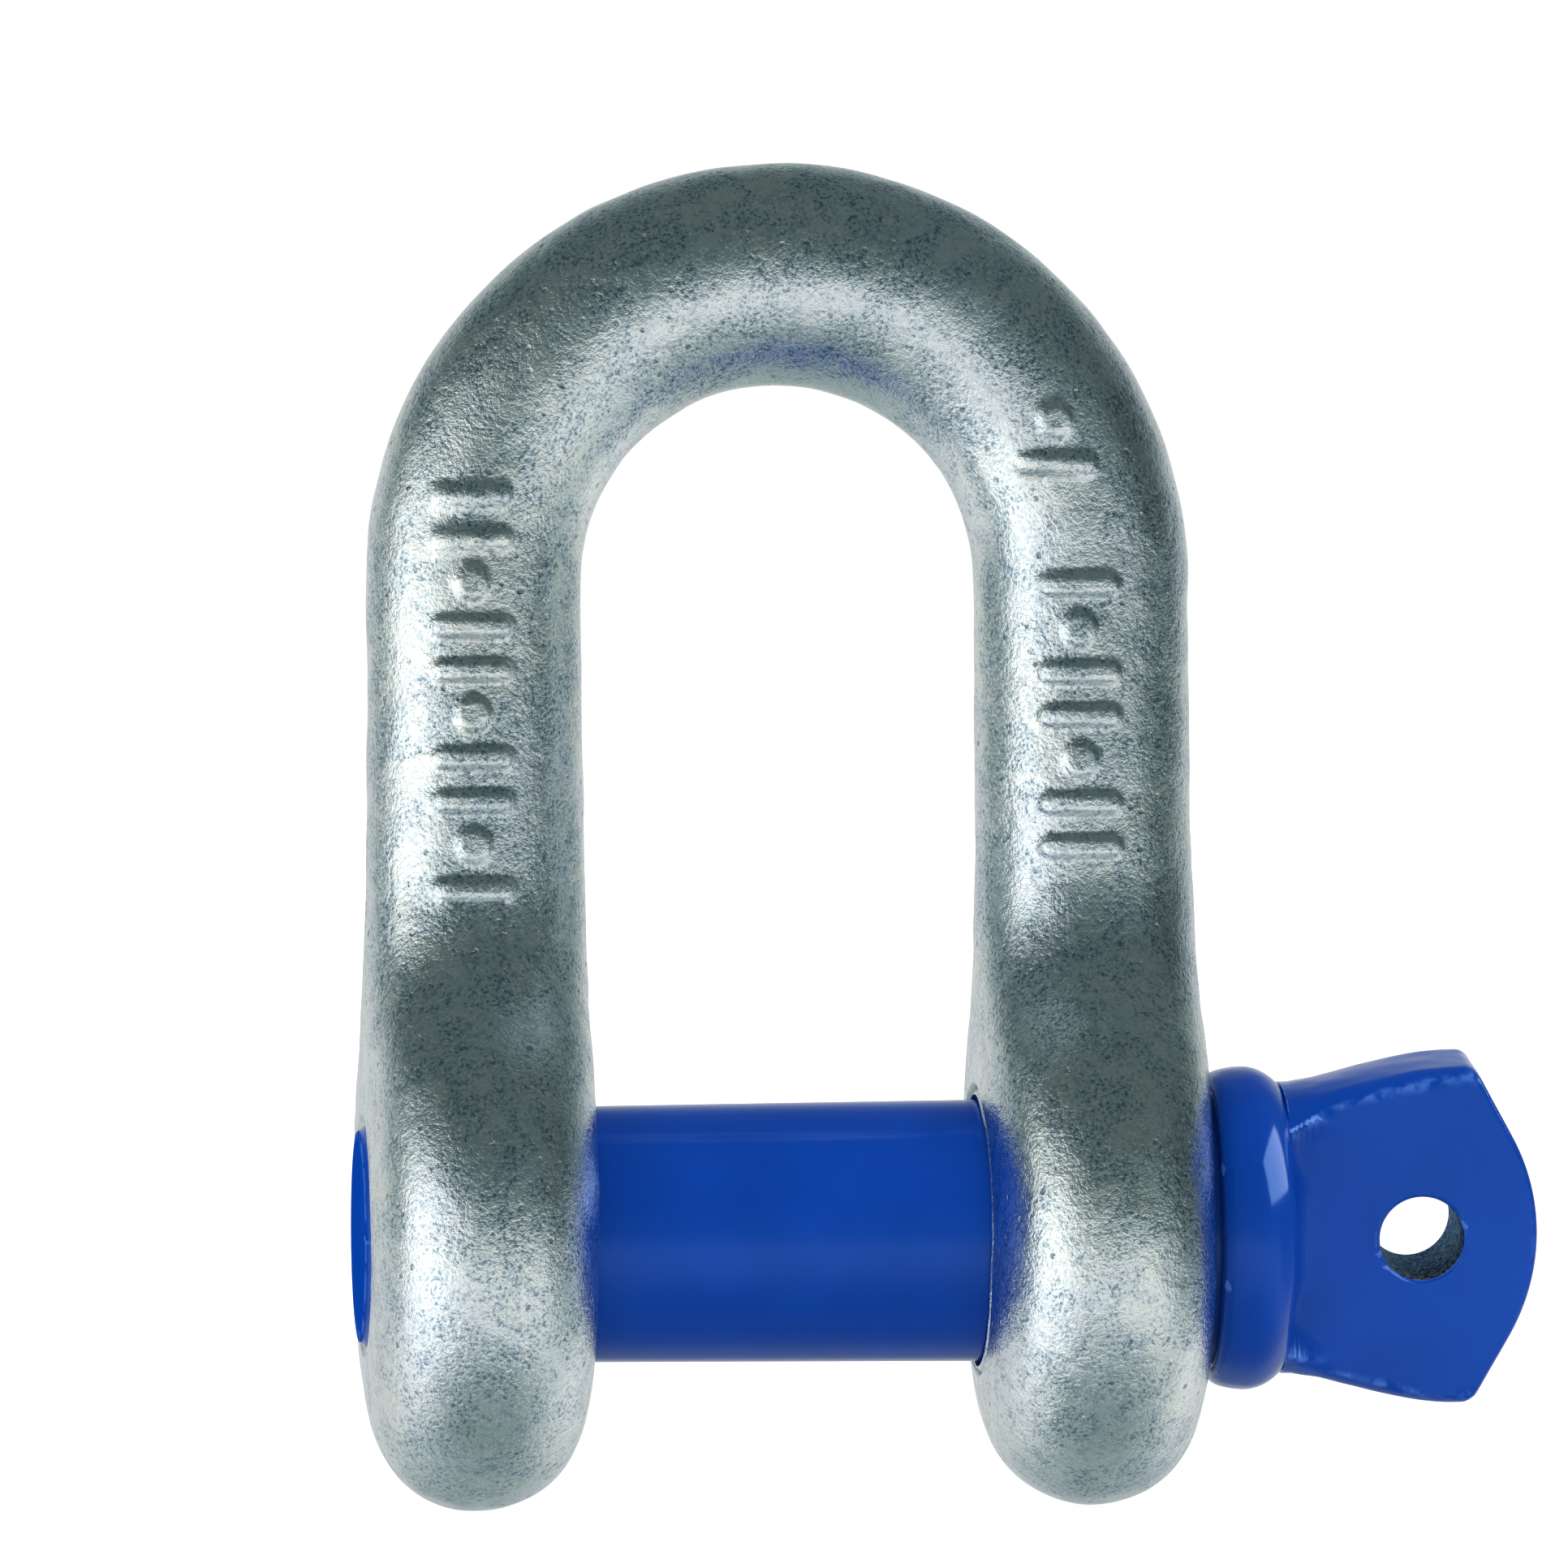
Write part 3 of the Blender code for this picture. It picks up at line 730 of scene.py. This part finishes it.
def make_head():
    turns = np.arange(PIN_COLUMNS) * (2 * math.pi / PIN_COLUMNS)
    points = []
    rings = head_points(turns)
    for number, (x, radius) in enumerate(rings):
        # The collar's back stays true, where the shank joins it.
        if number > len(COLLAR_BACK_RADII):
            radius = roughened(x, radius, turns)
        points += list(zip(x, radius * np.cos(turns), radius * np.sin(turns)))
    faces = []
    for row in range(len(rings) - 1):
        for side in range(PIN_COLUMNS):
            after = (side + 1) % PIN_COLUMNS
            first = row * PIN_COLUMNS
            second = first + PIN_COLUMNS
            faces.append((first + side, first + after, second + after, second + side))
    last = (len(rings) - 1) * PIN_COLUMNS
    points.append((TAB_END_X, 0.0, 0.0))
    for side in range(PIN_COLUMNS):
        faces.append((last + side, last + (side + 1) % PIN_COLUMNS, len(points) - 1))
    return mesh_piece("pin_head", [tuple(map(float, p)) for p in points], faces)


def eye_hole():
    """The tool for the tab's hole, with a slightly eased edge at each face."""
    face = TAB_HALF_THICKNESS - HOLE_INSET
    past = 3 * MM
    rounding = HOLE_EASE * 0.3
    half = [(0.0, face + past), (HOLE_RADIUS + HOLE_EASE + past, face + past)]
    half += [(HOLE_RADIUS + HOLE_EASE, face), (HOLE_RADIUS + rounding, face - rounding)]
    half += [(HOLE_RADIUS, face - HOLE_EASE)]
    profile = half + [(radius, -along) for radius, along in reversed(half)]
    through = Matrix.Translation((HOLE_X, 0, 0)) @ Matrix.Rotation(math.pi / 2 + TAB_TILT, 4, "X")
    return spun("eye_hole", profile, HOLE_SIDES, through)


def make_pin(finish):
    pin = grow("screw_pin_forging", PIN_SIZES, pin_rule, finish)
    head = make_head()
    work = bmesh.new()
    work.from_mesh(pin.data)
    work.from_mesh(head.data)
    work.to_mesh(pin.data)
    work.free()
    bpy.data.objects.remove(head)
    tidy_mesh(pin, HEAD_JOIN_DISTANCE)
    cut_with(pin, [eye_hole()])
    finish_piece(pin, finish, PIN_SHARP_ANGLE)
    return pin


# ---------------------------------------------------------------- finishes


def shader_of(name, constants):
    """A new material: its wires, and its Principled shader with the constants set."""
    made = bpy.data.materials.new(name)
    made.use_nodes = True
    shader = made.node_tree.nodes["Principled BSDF"]
    for label, value in constants.items():
        shader.inputs[label].default_value = value
    return made, Wires(made.node_tree), shader


def feed(wires, shader, values):
    for label, value in values.items():
        wires.tree.links.new(value.socket, shader.inputs[label])


def tint(red, green, blue):
    return (red, green, blue, 1.0)


def galvanised_steel():
    """Hot-dip zinc on a forging: mottled, faintly pitted, blue-grey to green-grey, brighter where rubbed,
    with painted shade darkening its hollows.
    """
    made, wires, shader = shader_of("galvanised_steel", {"Metallic": 1.0, "Specular IOR Level": 0.5})
    place = wires.add("ShaderNodeTexCoord", out="Object")
    edges = wires.add("ShaderNodeNewGeometry", out="Pointiness")
    broad = wires.noise(place, 24 * MM, detail=3.0, rough=0.55)
    cloud = wires.noise(place, 5 * MM, detail=4.0, rough=0.62, warp=0.8)
    mottle = wires.noise(place, 1.2 * MM, detail=3.0, rough=0.7, warp=0.5)
    grain = wires.noise(place, 0.42 * MM, detail=2.0, rough=0.7)
    fleck = wires.smooth(grain, 0.47, 0.38) * wires.smooth(cloud, 0.62, 0.42)
    pit = wires.smooth(wires.cells(place, 2.4 * MM), 0.20, 0.07) * wires.smooth(mottle, 0.42, 0.56)
    rubbed = wires.smooth(edges, 0.505, 0.56)
    # Concave places, found by pointiness. The grey layer over them is painted shade; the stain layer tints
    # some of them brown.
    hollow = wires.smooth(edges, 0.495, 0.44)
    stain = hollow * wires.smooth(cloud, 0.50, 0.62)
    blue_zinc = tint(0.76, 0.84, 0.88)
    green_zinc = tint(0.80, 0.87, 0.83)
    layers = (
        (wires.smooth(cloud, 0.56, 0.36), 0.60, tint(0.56, 0.67, 0.72)),
        (wires.smooth(mottle, 0.50, 0.36), 0.45, tint(0.34, 0.44, 0.52)),
        (fleck, 0.80, tint(0.11, 0.20, 0.29)),
        (wires.smooth(grain, 0.54, 0.66), 0.80, WHITE),
        (pit, 0.7, tint(0.20, 0.23, 0.24)),
        (rubbed, 0.5, tint(0.88, 0.91, 0.90)),
        # painted shade in the hollows
        (hollow, 0.65, tint(0.22, 0.25, 0.25)),
        (stain, 0.7, tint(0.16, 0.10, 0.06)),
    )
    colour = wires.layered(wires.blend(wires.smooth(broad, 0.38, 0.62), blue_zinc, green_zinc), layers)
    rough = 0.22 + (mottle - 0.5) * 0.25 + (grain - 0.5) * 0.30 + pit * 0.2 + rubbed * 0.05
    relief = cloud * 1.1 + mottle * 0.60 + grain * 0.60 - pit * 0.6
    bump = wires.add("ShaderNodeBump", {}, {"Strength": 0.75, "Distance": 0.20 * MM, "Height": relief})
    feed(wires, shader, {"Base Color": colour, "Roughness": wires.clamp(rough), "Normal": bump})
    return made


def bare_wall(wires, place, dust):
    """1 on the unpainted wall of the tab's hole, where the paint stops at a ragged edge."""
    x, y, z = wires.split(place)
    across = x - HOLE_X
    up = z * math.cos(TAB_TILT) - y * math.sin(TAB_TILT)
    deep = y * math.cos(TAB_TILT) + z * math.sin(TAB_TILT)
    from_axis = wires.math("SQRT", across * across + up * up)
    ragged = (dust - 0.5) * 0.5 * MM
    in_wall = wires.smooth(from_axis + ragged, HOLE_RADIUS + 0.32 * MM, HOLE_RADIUS + 0.12 * MM)
    off_middle = wires.math("ABSOLUTE", deep)
    within = wires.smooth(off_middle, TAB_HALF_THICKNESS - 0.25 * MM, TAB_HALF_THICKNESS - 0.4 * MM)
    return in_wall * within


def blue_enamel():
    """Royal blue gloss enamel over a forging, dull on the pin's end and rubbed off in the tab's hole, with a
    painted highlight along its convex edges.
    """
    constants = {"IOR": 1.45, "Specular Tint": tint(0.28, 0.58, 1.0)}
    constants.update({"Coat IOR": 1.5, "Coat Roughness": 0.06})
    made, wires, shader = shader_of("blue_enamel", constants)
    place = wires.add("ShaderNodeTexCoord", out="Object")
    edges = wires.add("ShaderNodeNewGeometry", out="Pointiness")
    broad = wires.noise(place, 14 * MM)
    peel = wires.noise(place, 1.6 * MM)
    dust = wires.noise(place, 0.35 * MM, rough=0.6)
    highlight_breaks = wires.noise(place, 2.2 * MM, rough=0.6)
    flecks = wires.noise(place, 0.5 * MM, detail=3.0, rough=0.7)
    bare = bare_wall(wires, place, dust)
    thin_blue = tint(0.002, 0.053, 0.40)
    full_blue = tint(0.003, 0.061, 0.46)
    # Painted highlight: paler blue along the convex edges, broken up by noise.
    painted_edge_highlight = wires.smooth(edges, 0.512, 0.545) * wires.smooth(highlight_breaks, 0.40, 0.58)
    layers = (
        (wires.smooth(dust, 0.60, 0.72), 0.12, tint(0.02, 0.10, 0.45)),
        # the paler blue of the painted edge highlight
        (painted_edge_highlight, 0.75, tint(0.09, 0.25, 0.80)),
    )
    paint = wires.layered(wires.blend(wires.smooth(broad, 0.3, 0.7), thin_blue, full_blue), layers)
    scale = tint(0.012, 0.012, 0.014)
    worn_steel = tint(0.36, 0.35, 0.33)
    steel = wires.blend(wires.smooth(flecks, 0.42, 0.62), scale, worn_steel)
    colour = wires.blend(bare, paint, steel)
    rough = wires.between(bare, 0.13 + (peel - 0.5) * 0.08 + (dust - 0.5) * 0.05, 0.5)
    relief = wires.between(bare, peel * 0.5 + broad * 1.2, flecks * 3.0)
    bump = wires.add("ShaderNodeBump", {}, {"Strength": 0.35, "Distance": 0.10 * MM, "Height": relief})
    x = wires.split(place)[0]
    glossy = wires.smooth(x, PIN_SIZES["Tip"] + 0.1 * MM, PIN_SIZES["Tip"] + 0.5 * MM)
    coat = (1 - bare) * glossy * 0.06
    feed(wires, shader, {"Base Color": colour, "Roughness": rough, "Metallic": bare * 0.9})
    feed(wires, shader, {"Specular IOR Level": glossy * 0.55, "Coat Weight": coat, "Normal": bump})
    return made


# ---------------------------------------------------------------- stage, lights and camera


def make_floor():
    """A pale floor that reads as plain white, with the faint shadow of what stands on it."""
    signs = ((-1, -1), (1, -1), (1, 1), (-1, 1))
    corners = [(across * FLOOR_REACH, along * FLOOR_REACH, FLOOR_HEIGHT) for across, along in signs]
    floor = mesh_piece("studio_floor", corners, [(0, 1, 2, 3)])
    made = bpy.data.materials.new("white_floor")
    made.use_nodes = True
    wires = Wires(made.node_tree)
    made.node_tree.nodes.clear()
    near_level = 0.84
    far_level = 1.0
    unseen_level = 0.3
    x, y, _ = wires.split(wires.add("ShaderNodeTexCoord", out="Object"))
    away = wires.math("SQRT", x * x + y * y)
    seen_level = wires.between(wires.smooth(away, 0.15, 0.8), near_level, far_level)
    seen = wires.add("ShaderNodeLightPath", out="Is Camera Ray")
    level = wires.between(seen, unseen_level, seen_level)
    glow = wires.add("ShaderNodeEmission", {}, {"Color": WHITE, "Strength": level})
    matt = wires.add("ShaderNodeBsdfDiffuse", {}, {"Color": tint(0.5, 0.5, 0.5)})
    both = wires.add("ShaderNodeAddShader", {}, {0: glow, 1: matt})
    wires.node("ShaderNodeOutputMaterial", {}, {0: both})
    floor.data.materials.append(made)
    floor.visible_glossy = False


def make_room():
    """The room that the metal mirrors, by direction. Seen directly, or as fill, it is plain white."""
    world = bpy.data.worlds.new("studio_room")
    bpy.context.scene.world = world
    world.use_nodes = True
    wires = Wires(world.node_tree)
    world.node_tree.nodes.clear()
    ceiling = 0.10
    horizon = 0.13
    ground = 0.52
    side_loss = 0.60
    back = 0.16
    back_horizon = 0.40
    left_screen = 1.15
    cold_air = tint(0.74, 0.98, 1.0)
    x, y, z = wires.split(wires.add("ShaderNodeTexCoord", out="Generated"))
    off_front = wires.math("ABSOLUTE", x)
    off_level = wires.math("ABSOLUTE", z)
    # The ceiling, the paler horizon, and the light that the ground throws up.
    low = wires.smooth(z, 0.10, -0.34) * wires.smooth(z, -1.0, -0.34)
    level = ceiling + horizon * wires.smooth(z, 0.50, 0.0) + ground * low
    # Far left and far right are darker.
    level = level * (1 - side_loss * wires.smooth(off_front, 0.80, 0.95))
    # The wall behind is brightest at the horizon.
    behind = wires.smooth(y, 0.52, 0.88)
    level = wires.between(behind, level, back + back_horizon * wires.smooth(off_level, 0.8, 0.1))
    # A broad screen at the left.
    left = wires.smooth(x, -0.35, -0.95) * wires.smooth(y, 0.44, 0.05)
    left = left * wires.smooth(z, 0.62, 0.02) * wires.smooth(z, -0.85, -0.35)
    level = wires.between(left, level, left_screen) * ROOM_LEVEL
    air = wires.blend(wires.smooth(level, 0.12, 0.85), cold_air, WHITE)
    filling = wires.add("ShaderNodeLightPath", out="Is Diffuse Ray")
    seen = wires.add("ShaderNodeLightPath", out="Is Camera Ray")
    level = wires.between(filling, level, FILL_LEVEL)
    level = wires.between(seen, level, BACKDROP_LEVEL)
    air = wires.blend(wires.math("MAXIMUM", seen, filling), air, WHITE)
    glow = wires.add("ShaderNodeBackground", {}, {"Color": air, "Strength": level})
    wires.node("ShaderNodeOutputWorld", {}, {0: glow})


def direction(azimuth, elevation):
    """Unit vector from the shackle: azimuth 0 is in front, and 90 degrees is past the pin's head."""
    level = math.cos(elevation)
    return Vector((math.sin(azimuth) * level, -math.cos(azimuth) * level, math.sin(elevation)))


def make_head_light(pin):
    """A softbox high at the right that lights the enamel's gloss and nothing else."""
    width = 0.90
    height = 0.60
    distance = 0.9
    radiance = 6.5
    light = bpy.data.lights.new("head_light", "AREA")
    light.shape = "RECTANGLE"
    light.size = width
    light.size_y = height
    light.energy = radiance * math.pi * width * height
    lamp = bpy.data.objects.new("head_light", light)
    bpy.context.scene.collection.objects.link(lamp)
    away = direction(HEAD_LIGHT_AZIMUTH, HEAD_LIGHT_ELEVATION)
    lamp.location = HEAD_LIGHT_AIM + away * distance
    lamp.rotation_mode = "QUATERNION"
    lamp.rotation_quaternion = (-away).to_track_quat("-Z", "Y")
    lamp.visible_camera = False
    lamp.visible_diffuse = False
    lit = bpy.data.collections.new("lit_by_head_light")
    lit.objects.link(pin)
    lamp.light_linking.receiver_collection = lit


def make_camera():
    lens = bpy.data.cameras.new("camera")
    lens.lens = CAMERA_LENS
    lens.sensor_width = CAMERA_SENSOR
    lens.clip_start, lens.clip_end = CAMERA_CLIP
    camera = bpy.data.objects.new("camera", lens)
    bpy.context.scene.collection.objects.link(camera)
    away = direction(CAMERA_AZIMUTH, CAMERA_ELEVATION)
    facing = (-away).to_track_quat("-Z", "Y").to_matrix().to_4x4()
    rolled = facing @ Matrix.Rotation(-CAMERA_ROLL, 4, "Z")
    camera.rotation_mode = "QUATERNION"
    camera.rotation_quaternion = rolled.to_quaternion()
    camera.location = CAMERA_AIM + away * CAMERA_DISTANCE
    bpy.context.scene.camera = camera
    bpy.context.scene.view_settings.view_transform = "Standard"


make_camera()
make_room()
make_floor()

body = make_body(galvanised_steel())
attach(body, "body")
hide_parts("shackle_body")

pin = make_pin(blue_enamel())
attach(pin, "pin")
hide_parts("screw_pin", "pin_collar")
make_head_light(pin)
